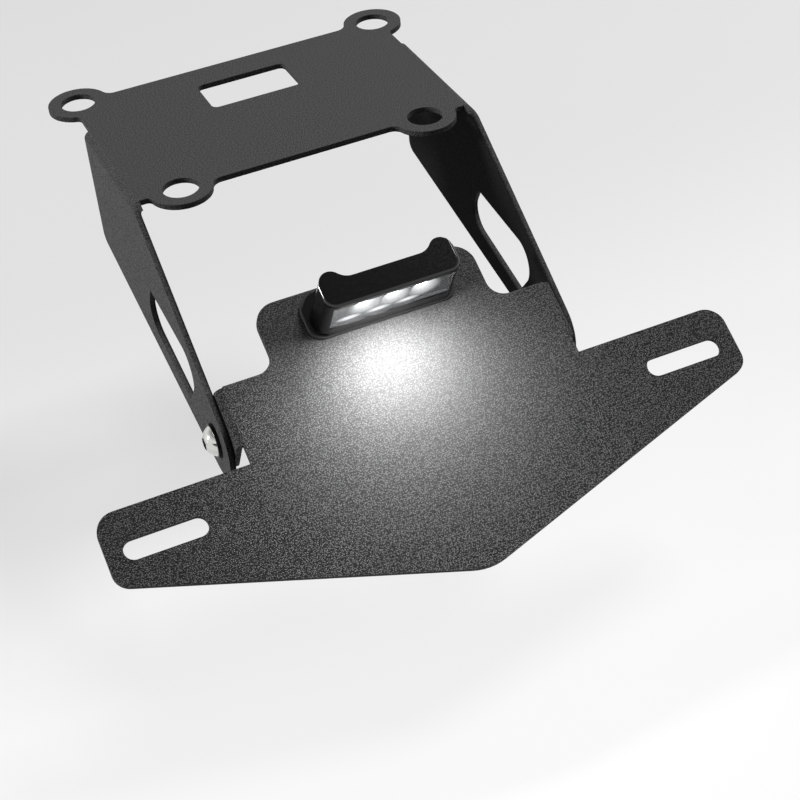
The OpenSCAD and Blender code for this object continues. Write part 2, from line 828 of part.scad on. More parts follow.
module lamp_screw(side) {
    under_head = -sheet_t - lamp_washer_t;
    color(stainless) on_lamp() translate([side * lobes_w / 2, 0, under_head]) {
        cylinder(d = lamp_screw_d, h = lamp_screw_l);
        difference() {
            translate([0, 0, -lamp_head_h])
                cylinder(d1 = lamp_head_d - lamp_head_taper, d2 = lamp_head_d, h = lamp_head_h);
            translate([0, 0, -lamp_head_h - past]) hexagon(lamp_socket_w, lamp_head_h / 2 + past);
        }
    }
}

module lamp_washer(side) {
    color(stainless) on_lamp()
        translate([side * lobes_w / 2, 0, -sheet_t - lamp_washer_t])
            washer(lamp_washer_d, lamp_hole_d, lamp_washer_t);
}

// Grommet: two flanges either side of the sheet, joined by a neck in its hole
module cable_grommet() {
    color(rubber_black) on_lamp() translate([0, cable_y, 0]) difference() {
        union() {
            cylinder(d = grommet_d, h = grommet_flange_t);
            translate([0, 0, -sheet_t]) cylinder(d = grommet_hole_d, h = sheet_t);
            translate([0, 0, -sheet_t - grommet_flange_t])
                cylinder(d1 = grommet_d - grommet_taper, d2 = grommet_d, h = grommet_flange_t);
        }
        translate([0, 0, -sheet_t - grommet_flange_t - past])
            cylinder(d = cable_d, h = sheet_t + 2 * grommet_flange_t + 2 * past);
    }
}

upper_bracket();
plate_holder();
tilt_screw(-1);  // tilt_screw_left
tilt_screw(1);  // tilt_screw_right
outer_washer(-1);  // outer_washer_left
outer_washer(1);  // outer_washer_right
inner_washer(-1);  // inner_washer_left
inner_washer(1);  // inner_washer_right
lock_nut(-1);  // lock_nut_left
lock_nut(1);  // lock_nut_right
nut_ring(-1);  // nut_ring_left
nut_ring(1);  // nut_ring_right
lamp_gasket();
lamp_base();
lamp_housing();
lamp_lens();
lamp_reflector();
lamp_board();
led(-1);  // led_left
led(0);  // led_middle
led(1);  // led_right
lamp_screw(-1);  // lamp_screw_left
lamp_screw(1);  // lamp_screw_right
lamp_washer(-1);  // lamp_washer_left
lamp_washer(1);  // lamp_washer_right
cable_grommet();
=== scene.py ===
import json
import math

import bmesh
import bpy
from mathutils import Matrix, Vector


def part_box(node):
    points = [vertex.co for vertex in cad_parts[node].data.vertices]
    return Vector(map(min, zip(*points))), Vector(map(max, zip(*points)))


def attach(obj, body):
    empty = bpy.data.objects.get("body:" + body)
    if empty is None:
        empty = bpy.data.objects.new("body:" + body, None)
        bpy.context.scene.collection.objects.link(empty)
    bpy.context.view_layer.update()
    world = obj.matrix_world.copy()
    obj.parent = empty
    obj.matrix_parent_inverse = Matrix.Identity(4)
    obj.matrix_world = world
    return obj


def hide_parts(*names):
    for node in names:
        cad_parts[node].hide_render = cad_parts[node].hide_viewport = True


bl_info = {
    "name": "Tail tidy",
    "version": (1, 0, 0),
    "blender": (4, 5, 0),
    "location": "View3D > Sidebar > Tail tidy",
    "description": "Finishes a tail tidy's sheets, screws and plate lamp, and sets its stage",
    "category": "Object",
}

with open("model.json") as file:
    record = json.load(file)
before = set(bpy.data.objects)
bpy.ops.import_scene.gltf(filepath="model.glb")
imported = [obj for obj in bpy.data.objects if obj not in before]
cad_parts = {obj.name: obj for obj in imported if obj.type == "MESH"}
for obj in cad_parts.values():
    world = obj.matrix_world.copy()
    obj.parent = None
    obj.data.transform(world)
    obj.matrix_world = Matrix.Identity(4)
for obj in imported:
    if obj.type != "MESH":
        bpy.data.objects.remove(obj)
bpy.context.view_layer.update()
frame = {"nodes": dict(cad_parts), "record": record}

MM = 0.001
SIDES = ("left", "right")

# The plate holder's slope at rest, and its outward and uphill directions
PLATE_SLOPE = math.radians(31.5)
PLATE_OUT = Vector((0, -math.sin(PLATE_SLOPE), math.cos(PLATE_SLOPE)))
PLATE_UP = Vector((0, math.cos(PLATE_SLOPE), math.sin(PLATE_SLOPE)))

# Thickness of the sheets, and how far from the axis a screw's socket is painted dark, as painted
# shade in the recess
SHEET = 2 * MM
TILT_SOCKET_R = 2.1 * MM
LAMP_SOCKET_R = 1.3 * MM

# In a copy of a CAD mesh, points closer than the gap are merged, and so are faces that meet
# flatter than the flat angle. Edges past the sharp angle are rounded, and what then stays under
# the smooth angle is shaded smooth
MERGE_GAP = 0.002 * MM
FLAT_ANGLE = math.radians(0.3)
SHARP_ANGLE = math.radians(25)
SMOOTH_ANGLE = math.radians(40)

# Rounding of the lamp's moulded and punched edges
HOUSING_EDGE = 0.3 * MM
BASE_EDGE = 0.5 * MM
GASKET_EDGE = 0.4 * MM

# How far below a chip its painted glow gathers, and where it is full and where it ends
GLOW_DROP = 0.8 * MM
GLOW_NEAR, GLOW_FAR = 2.2 * MM, 7.5 * MM
# Where the tray shows its painted reflection of a chip, seen from the middle of its glow, where
# that streak is full and where it ends, and how much longer than high it is
STREAK_AT = Vector((-5.2 * MM, 0, 0)) - 5.5 * MM * PLATE_OUT - 1.2 * MM * PLATE_UP
STREAK_NEAR, STREAK_FAR = 0.3 * MM, 1.9 * MM
STREAK_LENGTHENED = 2.8

# How far downhill of the lens its light falls strongest on the holder, and where round that place
# the flood of light is full and where it ends
POOL_REACH = 18 * MM
FLOOD_NEAR, FLOOD_FAR = 15 * MM, 70 * MM
# The light that makes this pool: its place seen from the lens, its aim, its length as a share of
# the lens, and its height
POOL_LIGHT_AT = Vector((-4 * MM, 0, 0)) - 6 * MM * PLATE_UP + 10 * MM * PLATE_OUT
POOL_LIGHT_AIM = (-PLATE_UP - 0.4 * PLATE_OUT).normalized()
POOL_LIGHT_SHARE = 0.5
POOL_LIGHT_HEIGHT = 9 * MM

# The stage's lights: where each hangs, seen from the object, with its distance and width in metres
KEY_TOWARDS = Vector((0.65, 0.15, 1.0))
KEY_DISTANCE = 1.5
KEY_WIDTH = 0.5
SIDE_TOWARDS = Vector((-0.914, 0.274, 0.301))
SIDE_DISTANCE = 1.43
SIDE_WIDTH = 0.2

# Half the floor's width, where its glare fades from front to back, and how far off it meets the
# pale room, in metres
FLOOR_HALF = 6.0
GLARE_FRONT, GLARE_BACK = -0.14, 0.19
ROOM_NEAR, ROOM_FAR = 0.5, 2.0

# The photograph's view: angles in degrees, distance and target in metres
VIEW_AZIMUTH = -20.62
VIEW_ELEVATION = 37.70
VIEW_ROLL = -5.83
VIEW_DISTANCE = 0.60994
VIEW_TARGET = Vector((-1.67, -71.82, -59.47)) * MM
VIEW_LENS = 82.0145


def linear(code):
    """An sRGB hex colour as linear red, green and blue."""
    parts = [int(code[i:i + 2], 16) / 255 for i in (1, 3, 5)]
    return [p / 12.92 if p <= 0.04045 else ((p + 0.055) / 1.055) ** 2.4 for p in parts]


def rgba(colour, factor=1.0):
    """A linear colour, made lighter or darker, with its alpha."""
    return [min(1.0, c * factor) for c in colour[:3]] + [1.0]


# Sizes and colours that a user would change


class TidyCoatSettings(bpy.types.PropertyGroup):
    bracket_colour: bpy.props.FloatVectorProperty(
        name="Bracket coat", description="Colour of the fine powder coat on the bracket",
        subtype="COLOR", size=3, min=0, max=1, default=linear("#454545"))
    holder_colour: bpy.props.FloatVectorProperty(
        name="Holder coat", description="Colour of the textured powder coat on the plate holder",
        subtype="COLOR", size=3, min=0, max=1, default=linear("#3e3e3e"))
    edge_radius: bpy.props.FloatProperty(
        name="Edge rounding", description="Rounding that the coat leaves on a sheet's cut edge",
        unit="LENGTH", precision=5, min=0.05 * MM, max=0.6 * MM, default=0.25 * MM)
    # A baked grain is about 0.1 mm wide, which is too fine to show, so it is drawn coarser
    fine_grain: bpy.props.FloatProperty(
        name="Fine grain", description="Width of a grain in the bracket's coat, as drawn",
        unit="LENGTH", precision=5, min=0.1 * MM, max=2 * MM, default=0.42 * MM)
    coarse_grain: bpy.props.FloatProperty(
        name="Coarse grain", description="Width of a pebble in the plate holder's coat",
        unit="LENGTH", precision=5, min=0.2 * MM, max=3 * MM, default=0.5 * MM)


class TidyLampSettings(bpy.types.PropertyGroup):
    housing_colour: bpy.props.FloatVectorProperty(
        name="Housing", description="Colour of the glossy moulded housing",
        subtype="COLOR", size=3, min=0, max=1, default=linear("#0e0e0f"))
    light_colour: bpy.props.FloatVectorProperty(
        name="Light", description="Colour of the lamp's light",
        subtype="COLOR", size=3, min=0, max=1, default=linear("#ffffff"))
    chip_strength: bpy.props.FloatProperty(
        name="Chip glow", description="How strongly a light chip glows",
        min=0, max=50, default=8.0)
    pool_power: bpy.props.FloatProperty(
        name="Pool power", description="Power of the light thrown on the holder, in watts",
        min=0, max=5, default=0.18)


class TidyStageSettings(bpy.types.PropertyGroup):
    floor_level: bpy.props.FloatProperty(
        name="Floor level", description="Height of the floor, just under the holder's lowest reach",
        unit="LENGTH", default=-136.5 * MM)
    floor_colour: bpy.props.FloatVectorProperty(
        name="Floor", description="Colour of the floor",
        subtype="COLOR", size=3, min=0, max=1, default=linear("#f6f6f6"))
    key_power: bpy.props.FloatProperty(
        name="Key light", description="Power of the main soft light, in watts",
        min=0, max=200, default=17.0)
    side_power: bpy.props.FloatProperty(
        name="Side light", description="Power of the low soft light on the left, in watts",
        min=0, max=200, default=14.0)
    sky_strength: bpy.props.FloatProperty(
        name="Sky", description="Strength of the even light from all round",
        min=0, max=2, default=0.1)


# Materials


def add_node(tree, kind, inputs=None, **settings):
    """Adds a node and gives its outputs. Each input takes a plain value, or an output to link."""
    made = tree.nodes.new("ShaderNode" + kind)
    for name, value in settings.items():
        setattr(made, name, value)
    for key, value in (inputs or {}).items():
        if isinstance(value, bpy.types.NodeSocket):
            tree.links.new(value, made.inputs[key])
        else:
            made.inputs[key].default_value = value
    return made.outputs


def blank_material(name):
    """A material with an empty tree, and the object coordinates in metres."""
    material = bpy.data.materials.new(name)
    material.use_nodes = True
    tree = material.node_tree
    tree.nodes.clear()
    place = add_node(tree, "TexCoord")["Object"]
    return material, tree, place


def surface(tree, inputs):
    """Gives a tree the Principled shader of a finish, linked to the output."""
    shader = add_node(tree, "BsdfPrincipled", inputs)
    add_node(tree, "OutputMaterial", {"Surface": shader["BSDF"]})


def toned(tree, pattern, colour, tones, roughness, span=(0.3, 0.7)):
    """The colour and roughness of a finish whose tone and roughness follow a pattern.

    The tones make the colour darker where the pattern is low and lighter where it is high. The
    roughness runs from its first value to its second over the span of the pattern.
    """
    # A Mix node takes its colours in inputs 6 and 7 and gives theirs in output 2
    mixed = add_node(
        tree, "Mix", {0: pattern, 6: rgba(colour, tones[0]), 7: rgba(colour, tones[1])},
        data_type="RGBA")
    rough = add_node(tree, "MapRange", {
        "Value": pattern, "From Min": span[0], "From Max": span[1],
        "To Min": roughness[0], "To Max": roughness[1]})
    return {"Base Color": mixed[2], "Roughness": rough["Result"]}


def fine_powder_coat(colour, grain, half_inside):
    """Polyester powder coat, baked on. An even satin black with a faint grain, and painted shade on
    the arms' inner faces.
    """
    material, tree, place = blank_material("Fine satin powder coat")
    fine = add_node(tree, "TexNoise", {"Vector": place, "Scale": 1 / grain})["Fac"]
    # Baked powder flows into slow waves a few millimetres long
    waves = add_node(
        tree, "TexNoise", {"Vector": place, "Scale": 1 / (5 * MM), "Detail": 1.0})["Fac"]
    fine_step = add_node(
        tree, "Bump", {"Height": fine, "Strength": 0.5, "Distance": 0.07 * MM})["Normal"]
    wave_step = add_node(tree, "Bump", {
        "Height": waves, "Strength": 0.2, "Distance": 0.2 * MM, "Normal": fine_step})["Normal"]
    # Painted shade: the arms' inner faces below the top plate are darkened, as the shade that falls
    # between the arms
    spot = add_node(tree, "SeparateXYZ", {"Vector": place})
    off_middle = add_node(tree, "Math", {0: spot["X"]}, operation="ABSOLUTE")[0]
    outside = add_node(tree, "MapRange", {
        "Value": off_middle, "From Min": half_inside, "From Max": half_inside + SHEET / 2,
        "To Min": 0.15, "To Max": 1})["Result"]
    on_top = add_node(tree, "MapRange", {
        "Value": spot["Z"], "From Min": -1.5 * SHEET, "From Max": -0.75 * SHEET})["Result"]
    painted_fold_shade = add_node(tree, "Math", {0: outside, 1: on_top}, operation="MAXIMUM")[0]
    speck = add_node(tree, "MapRange", {
        "Value": fine, "From Min": 0.35, "From Max": 0.65, "To Min": 0.2, "To Max": 1})["Result"]
    shade = add_node(tree, "Math", {0: speck, 1: painted_fold_shade}, operation="MULTIPLY")[0]
    surface(tree, {
        **toned(tree, shade, colour, tones=(0.0, 1.75), roughness=(1.0, 0.68), span=(0, 0.6)),
        "IOR": 1.5,
        "Specular IOR Level": 0.1,
        "Normal": wave_step,
    })
    return material


def textured_powder_coat(colour, grain, flooded):
    """Textured powder coat. Its pebbled skin has relief, and the small specks of light and shade it
    makes are painted into its colour.
    """
    material, tree, place = blank_material("Textured powder coat")
    pebbles = add_node(
        tree, "TexVoronoi", {"Vector": place, "Scale": 1 / grain, "Randomness": 0.8})
    height = add_node(tree, "MapRange", {
        "Value": pebbles["Distance"], "From Min": 0.12, "From Max": 0.58,
        "To Min": 1, "To Max": 0})["Result"]
    # Painted glints and shade: each pebble is painted lighter by its own amount, as the light it
    # catches, and darker towards its rim, as shade between pebbles
    bright = add_node(tree, "MapRange", {
        "Value": pebbles["Color"], "From Min": 0.2, "From Max": 0.8,
        "To Min": 0.6, "To Max": 1})["Result"]
    speck = add_node(tree, "Math", {0: height, 1: bright}, operation="MULTIPLY")[0]
    # Painted light: where the lamp floods the sheet, the painted specks even out towards one mid
    # tone, and the pebbles' relief is lowered
    flood = nearness(tree, place, [flooded], FLOOD_NEAR, FLOOD_FAR)
    washed = add_node(tree, "MapRange", {"Value": flood, "To Max": 0.7})["Result"]
    tone = add_node(tree, "Mix", {0: washed, 2: speck, 3: 0.27}, data_type="FLOAT")[0]
    relief = add_node(tree, "MapRange", {"Value": flood, "To Min": 0.8, "To Max": 0.3})["Result"]
    step = add_node(
        tree, "Bump", {"Height": height, "Strength": relief, "Distance": 0.1 * MM})["Normal"]
    mixed = add_node(
        tree, "Mix", {0: tone, 6: rgba(colour, 0.2), 7: rgba(colour, 4.0)}, data_type="RGBA")
    rough = add_node(tree, "MapRange", {"Value": height, "To Min": 0.8, "To Max": 0.5})
    surface(tree, {
        "Base Color": mixed[2],
        "Roughness": rough["Result"],
        "IOR": 1.5,
        "Specular IOR Level": 0.2,
        "Normal": step,
    })
    return material


def turned_stainless(centre, axis, socket_r):
    """Stainless steel, turned and polished. Faint rings draw light round the socket, which is dull
    and painted dark as shade.
    """
    material, tree, place = blank_material("Polished turned stainless steel")
    moved = add_node(tree, "Mapping", {"Vector": place, "Location": -centre})["Vector"]
    # Tool marks lie about 0.1 mm apart, which is too fine to show, so they are drawn coarser
    rings = add_node(
        tree, "TexWave",
        {"Vector": moved, "Scale": 1 / (0.9 * MM), "Distortion": 0.4, "Detail": 1.0},
        wave_type="RINGS", rings_direction="X")["Fac"]
    step = add_node(
        tree, "Bump", {"Height": rings, "Strength": 0.12, "Distance": 0.02 * MM})["Normal"]
    # The punched socket is painted dark, as painted shade in the recess. A cross product's length
    # is the way off the axis
    swept = add_node(tree, "VectorMath", {0: moved, 1: axis}, operation="CROSS_PRODUCT")[0]
    off_axis = add_node(tree, "VectorMath", {0: swept}, operation="LENGTH")["Value"]
    painted_socket_shade = add_node(tree, "MapRange", {
        "Value": off_axis, "From Min": socket_r - 0.2 * MM, "From Max": socket_r,
        "To Min": 0.12, "To Max": 1})["Result"]
    haze = add_node(tree, "TexNoise", {"Vector": place, "Scale": 1 / (2.5 * MM)})["Fac"]
    smudge = add_node(tree, "MapRange", {
        "Value": haze, "From Min": 0.3, "From Max": 0.7, "To Min": 0.88, "To Max": 1})["Result"]
    tone = add_node(tree, "Math", {0: painted_socket_shade, 1: smudge}, operation="MULTIPLY")[0]
    surface(tree, {
        **toned(tree, tone, linear("#d2d2cf"), (0.0, 1.05), (0.5, 0.08), span=(0.1, 1)),
        "Metallic": 1.0,
        "Normal": step,
    })
    return material


def black_zinc():
    """Black-passivated zinc on steel. A dark, slightly cloudy metal with a dull shine."""
    material, tree, place = blank_material("Black zinc plated steel")
    cloud = add_node(
        tree, "TexNoise", {"Vector": place, "Scale": 1 / (1.2 * MM), "Detail": 3.0})["Fac"]
    surface(tree, {
        **toned(tree, cloud, linear("#2a2a2b"), tones=(0.7, 1.3), roughness=(0.32, 0.5)),
        "Metallic": 1.0,
    })
    return material


def nylon():
    """Natural nylon, machined. A warm white with a soft sheen."""
    material, tree, place = blank_material("Natural nylon")
    cloud = add_node(tree, "TexNoise", {"Vector": place, "Scale": 1 / (0.8 * MM)})["Fac"]
    surface(tree, {
        **toned(tree, cloud, linear("#e6e3d8"), tones=(0.92, 1.04), roughness=(0.38, 0.5)),
        "IOR": 1.53,
        "Subsurface Weight": 0.2,
        "Subsurface Radius": (0.6 * MM, 0.6 * MM, 0.5 * MM),
    })
    return material


def moulded_rubber():
    """Moulded rubber. A flat black that drinks the light, with a dusty bloom."""
    material, tree, place = blank_material("Moulded black rubber")
    bloom = add_node(
        tree, "TexNoise", {"Vector": place, "Scale": 1 / (0.35 * MM), "Detail": 3.0})["Fac"]
    step = add_node(
        tree, "Bump", {"Height": bloom, "Strength": 0.4, "Distance": 0.04 * MM})["Normal"]
    surface(tree, {
        **toned(tree, bloom, linear("#1a1a1a"), tones=(0.7, 1.35), roughness=(0.72, 0.9)),
        "IOR": 1.52,
        "Normal": step,
    })
    return material


def gloss_plastic(colour):
    """ABS, moulded in a polished tool. Deep gloss black with a trace of flow."""
    material, tree, place = blank_material("Gloss moulded ABS")
    flow = add_node(
        tree, "TexNoise", {"Vector": place, "Scale": 1 / (6 * MM), "Detail": 1.0})["Fac"]
    haze = add_node(tree, "TexNoise", {"Vector": place, "Scale": 1 / (0.5 * MM)})["Fac"]
    step = add_node(
        tree, "Bump", {"Height": flow, "Strength": 0.15, "Distance": 0.1 * MM})["Normal"]
    surface(tree, {
        **toned(tree, haze, colour, tones=(0.85, 1.15), roughness=(0.1, 0.18)),
        "IOR": 1.54,
        "Normal": step,
    })
    return material


def clear_polycarbonate():
    """Polycarbonate, moulded clear. The chips show through it and its face takes reflections."""
    material, tree, place = blank_material("Clear moulded polycarbonate")
    flow = add_node(
        tree, "TexNoise", {"Vector": place, "Scale": 1 / (3 * MM), "Detail": 1.0})["Fac"]
    rough = add_node(tree, "MapRange", {
        "Value": flow, "From Min": 0.3, "From Max": 0.7, "To Min": 0.02, "To Max": 0.06})["Result"]
    step = add_node(
        tree, "Bump", {"Height": flow, "Strength": 0.1, "Distance": 0.05 * MM})["Normal"]
    surface(tree, {
        "Base Color": rgba(linear("#fbfdff")),
        "Roughness": rough,
        "IOR": 1.585,
        "Transmission Weight": 1.0,
        "Normal": step,
    })
    return material


def nearness(tree, place, centres, near, far):
    """One close to any of the centres, and nought past the far distance."""
    best = None
    for centre in centres:
        gap = add_node(tree, "VectorMath", {0: place, 1: centre}, operation="DISTANCE")["Value"]
        closeness = add_node(tree, "MapRange", {
            "Value": gap, "From Min": near, "From Max": far, "To Min": 1, "To Max": 0})["Result"]
        if best is not None:
            closeness = add_node(tree, "Math", {0: best, 1: closeness}, operation="MAXIMUM")[0]
        best = closeness
    return best


def lit_tray(name, colour, metallic, roughness, centres, light, strength):
    """A bright tray or board, with the light of the chips set in it painted on as a glow."""
    material, tree, place = blank_material(name)
    glow = nearness(tree, place, centres, GLOW_NEAR, GLOW_FAR)
    fade = add_node(tree, "Math", {0: glow, 1: 2.2}, operation="POWER")[0]
    # Painted reflection: the tray's lower wall shows each chip as a long glowing streak
    squeeze = Vector((1 / STREAK_LENGTHENED, 1, 1))
    squeezed = add_node(tree, "VectorMath", {0: place, 1: squeeze}, operation="MULTIPLY")[0]
    mirrored = [(centre + STREAK_AT) * squeeze for centre in centres]
    streaks = nearness(tree, squeezed, mirrored, STREAK_NEAR, STREAK_FAR)
    lit = add_node(tree, "Math", {0: fade, 1: streaks}, operation="MAXIMUM")[0]
    shine = add_node(
        tree, "MapRange", {"Value": lit, "To Min": 0.02 * strength, "To Max": strength})["Result"]
    mottle = add_node(tree, "TexNoise", {"Vector": place, "Scale": 1 / (0.6 * MM)})["Fac"]
    surface(tree, {
        **toned(tree, mottle, colour, (0.93, 1.05), (roughness, roughness + 0.08)),
        "Metallic": metallic,
        "Emission Color": rgba(light),
        "Emission Strength": shine,
    })
    return material


def light_chip(light, strength):
    """A light chip: white phosphor under a clear dome, lit."""
    material, tree, place = blank_material("Lit phosphor chip")
    mottle = add_node(tree, "TexNoise", {"Vector": place, "Scale": 1 / (0.3 * MM)})["Fac"]
    phosphor = linear("#fffdf2")
    mixed = add_node(
        tree, "Mix", {0: mottle, 6: rgba(phosphor, 0.95), 7: rgba(phosphor)}, data_type="RGBA")
    shine = add_node(tree, "MapRange", {
        "Value": mottle, "From Min": 0.3, "From Max": 0.7,
        "To Min": 0.9 * strength, "To Max": strength})["Result"]
    surface(tree, {
        "Base Color": mixed[2],
        "Roughness": 0.3,
        "Emission Color": rgba(light),
        "Emission Strength": shine,
    })
    return material


def seen_directly(tree):
    """One for what the camera sees, also by a mirror or a lens, and nought for bounced light."""
    path = add_node(tree, "LightPath")
    mirrored = add_node(
        tree, "Math", {0: path["Is Glossy Ray"], 1: path["Is Transmission Ray"]},
        operation="MAXIMUM")[0]
    return add_node(
        tree, "Math", {0: path["Is Camera Ray"], 1: mirrored}, operation="MAXIMUM")[0]


def stage_floor(colour):
    """Matt white board. Pale, with a soft shadow where the lamps don't reach, and a painted glow
    that is strong in front, weaker towards the back and as pale as the room far off.
    """
    material, tree, place = blank_material("Matt white board")
    seen = seen_directly(tree)
    # Painted light: the board's glare is strong in front, where shadows fade in it. Towards the
    # back it falls away, and far off in every direction the board is as pale as the room
    along = add_node(tree, "SeparateXYZ", {"Vector": place})["Y"]
    back = add_node(
        tree, "MapRange", {"Value": along, "From Min": GLARE_FRONT, "From Max": GLARE_BACK},
        interpolation_type="SMOOTHSTEP")["Result"]
    near_glare = add_node(
        tree, "MapRange", {"Value": back, "To Min": 0.9, "To Max": 0.43})["Result"]
    reach = add_node(tree, "VectorMath", {0: place}, operation="LENGTH")["Value"]
    far_glare = add_node(tree, "MapRange", {
        "Value": reach, "From Min": ROOM_NEAR, "From Max": ROOM_FAR,
        "To Min": 0.4, "To Max": 1.05}, interpolation_type="SMOOTHSTEP")["Result"]
    glare = add_node(tree, "Math", {0: near_glare, 1: far_glare}, operation="MAXIMUM")[0]
    shadow = add_node(tree, "MapRange", {"Value": back, "To Min": 0.2})["Result"]
    shaded = add_node(tree, "Math", {0: seen, 1: shadow}, operation="MULTIPLY")[0]
    mixed = add_node(
        tree, "Mix", {0: shaded, 6: rgba(colour, 0.08), 7: rgba(colour, 0.42)}, data_type="RGBA")
    seen_glare = add_node(tree, "Math", {0: seen, 1: glare}, operation="MULTIPLY")[0]
    surface(tree, {
        "Base Color": mixed[2],
        "Roughness": 0.9,
        "Specular IOR Level": 0.0,
        "Emission Color": rgba(colour),
        "Emission Strength": seen_glare,
    })
    return material


# Pieces


def show(mesh, name):
    """A new object at the origin with the given mesh."""
    piece = bpy.data.objects.new(name, mesh)
    bpy.context.scene.collection.objects.link(piece)
    return piece


def softened_copy(node, name, radius):
    """A copy of a CAD node's mesh with its sharp edges rounded."""
    bm = bmesh.new()
    bm.from_mesh(frame["nodes"][node].data)
    bmesh.ops.remove_doubles(bm, verts=bm.verts, dist=MERGE_GAP)
    bmesh.ops.dissolve_limit(
        bm, angle_limit=FLAT_ANGLE, verts=bm.verts, edges=bm.edges,
        use_dissolve_boundaries=False, delimit=set())
    edges = [e for e in bm.edges if e.is_manifold and e.calc_face_angle() > SHARP_ANGLE]
    bmesh.ops.bevel(
        bm, geom=edges, offset=radius, offset_type="OFFSET", affect="EDGES", segments=2,
        profile=0.5, material=-1, clamp_overlap=True)
    bmesh.ops.triangulate(bm, faces=[f for f in bm.faces if len(f.verts) > 4])
    mesh = bpy.data.meshes.new(name)
    bm.to_mesh(mesh)
    bm.free()
    mesh.shade_smooth()
    mesh.set_sharp_from_angle(angle=SMOOTH_ANGLE)
    piece = show(mesh, name)
    piece.modifiers.new("Flat faces stay flat", "WEIGHTED_NORMAL").keep_sharp = True
    return piece


def stand_in(node, name, material, radius):
    """Puts a softened copy in a CAD node's place, on the same body."""
    piece = softened_copy(node, name, radius)
    piece.data.materials.append(material)
    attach(piece, body_of_node(node))
    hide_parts(node)


def body_of_node(node):
    """The name of the body that carries a CAD node."""
    bodies = frame["record"]["behaviour"]["bodies"]
    return next(body for body, members in bodies.items() if node in members)


def dress(node, material):
    """Gives a CAD node its finish."""
    mesh = frame["nodes"][node].data
    if not mesh.materials:
        mesh.materials.append(material)
    for i in range(len(mesh.materials)):
        mesh.materials[i] = material


def middle(node):
    """The middle of a CAD node's box."""
    low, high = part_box(node)
    return (low + high) / 2


def pool_middle():
    """The place on the plate holder where the lamp's light falls strongest."""
    lens = middle("lamp_lens")
    return lens - PLATE_OUT * lens.dot(PLATE_OUT) - PLATE_UP * POOL_REACH


# Operators, one for each piece or group of like pieces


class TidyBracket(bpy.types.Operator):
    """Rounds the cut edges of the folded bracket and gives it its fine coat."""
    bl_idname = "tidy.bracket"
    bl_label = "Bracket"

    def execute(self, context):
        coats = context.scene.tidy_coats
        # The outer washer lies on the arm's outer face, and the inner face is one sheet further in
        half_inside = -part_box("outer_washer_left")[1].x - SHEET
        material = fine_powder_coat(coats.bracket_colour, coats.fine_grain, half_inside)
        stand_in("upper_bracket", "bracket_sheet", material, coats.edge_radius)
        return {"FINISHED"}


class TidyHolder(bpy.types.Operator):
    """Rounds the cut edges of the plate holder and gives it its textured coat."""
    bl_idname = "tidy.holder"
    bl_label = "Plate holder"

    def execute(self, context):
        coats = context.scene.tidy_coats
        material = textured_powder_coat(coats.holder_colour, coats.coarse_grain, pool_middle())
        stand_in("plate_holder", "holder_sheet", material, coats.edge_radius)
        return {"FINISHED"}


class TidyTiltScrews(bpy.types.Operator):
    """Finishes the tilt screws with their washers and lock nuts."""
    bl_idname = "tidy.tilt_screws"
    bl_label = "Tilt screws"

    def execute(self, context):
        plated = black_zinc()
        ring = nylon()
        for side in SIDES:
            steel = turned_stainless(middle(f"tilt_screw_{side}"), (1, 0, 0), TILT_SOCKET_R)
            for node in ("tilt_screw", "inner_washer", "lock_nut"):
                dress(f"{node}_{side}", steel)
            dress(f"outer_washer_{side}", plated)
            dress(f"nut_ring_{side}", ring)
        return {"FINISHED"}


class TidyLampShell(bpy.types.Operator):
    """Finishes the lamp's housing, base and gasket."""
    bl_idname = "tidy.lamp_shell"
    bl_label = "Lamp shell"

    def execute(self, context):
        gloss = gloss_plastic(context.scene.tidy_lamp.housing_colour)
        rubber = moulded_rubber()
        stand_in("lamp_housing", "housing_shell", gloss, HOUSING_EDGE)
        stand_in("lamp_base", "base_plate", gloss, BASE_EDGE)
        stand_in("lamp_gasket", "gasket_sheet", rubber, GASKET_EDGE)
        dress("cable_grommet", rubber)
        return {"FINISHED"}


class TidyLightUnit(bpy.types.Operator):
    """Finishes the lens and what glows behind it, and throws its light on the holder."""
    bl_idname = "tidy.light_unit"
    bl_label = "Light unit"

    def execute(self, context):
        lamp = context.scene.tidy_lamp
        chips = [f"led_{place}" for place in ("left", "middle", "right")]
        centres = [middle(chip) - GLOW_DROP * PLATE_OUT for chip in chips]
        chip_finish = light_chip(lamp.light_colour, lamp.chip_strength)
        for chip in chips:
            dress(chip, chip_finish)
        dress("lamp_reflector", lit_tray(
            "Metallised reflector", linear("#323436"), metallic=1.0, roughness=0.14,
            centres=centres, light=lamp.light_colour, strength=1.6))
        dress("lamp_board", lit_tray(
            "Grey solder mask", linear("#4a4a4a"), metallic=0.0, roughness=0.4,
            centres=centres, light=lamp.light_colour, strength=2.0))
        dress("lamp_lens", clear_polycarbonate())
        self.throw_pool(lamp)
        return {"FINISHED"}

    def throw_pool(self, lamp):
        low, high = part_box("lamp_lens")
        light = bpy.data.lights.new("lamp_pool", "AREA")
        light.shape = "RECTANGLE"
        light.size = POOL_LIGHT_SHARE * (high.x - low.x)
        light.size_y = POOL_LIGHT_HEIGHT
        light.energy = lamp.pool_power
        light.color = lamp.light_colour
        source = bpy.data.objects.new("lamp_pool", light)
        bpy.context.scene.collection.objects.link(source)
        source.visible_camera = False
        source.visible_transmission = False
        turn = POOL_LIGHT_AIM.to_track_quat("-Z", "Y").to_matrix().to_4x4()
        source.matrix_world = Matrix.Translation(middle("lamp_lens") + POOL_LIGHT_AT) @ turn
        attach(source, "plate")


class TidyLampScrews(bpy.types.Operator):
    """Finishes the two screws that hold the lamp from behind."""
    bl_idname = "tidy.lamp_screws"
    bl_label = "Lamp screws"

    def execute(self, context):
        for side in SIDES:
            steel = turned_stainless(middle(f"lamp_screw_{side}"), PLATE_OUT, LAMP_SOCKET_R)
            dress(f"lamp_screw_{side}", steel)
            dress(f"lamp_washer_{side}", steel)
        return {"FINISHED"}


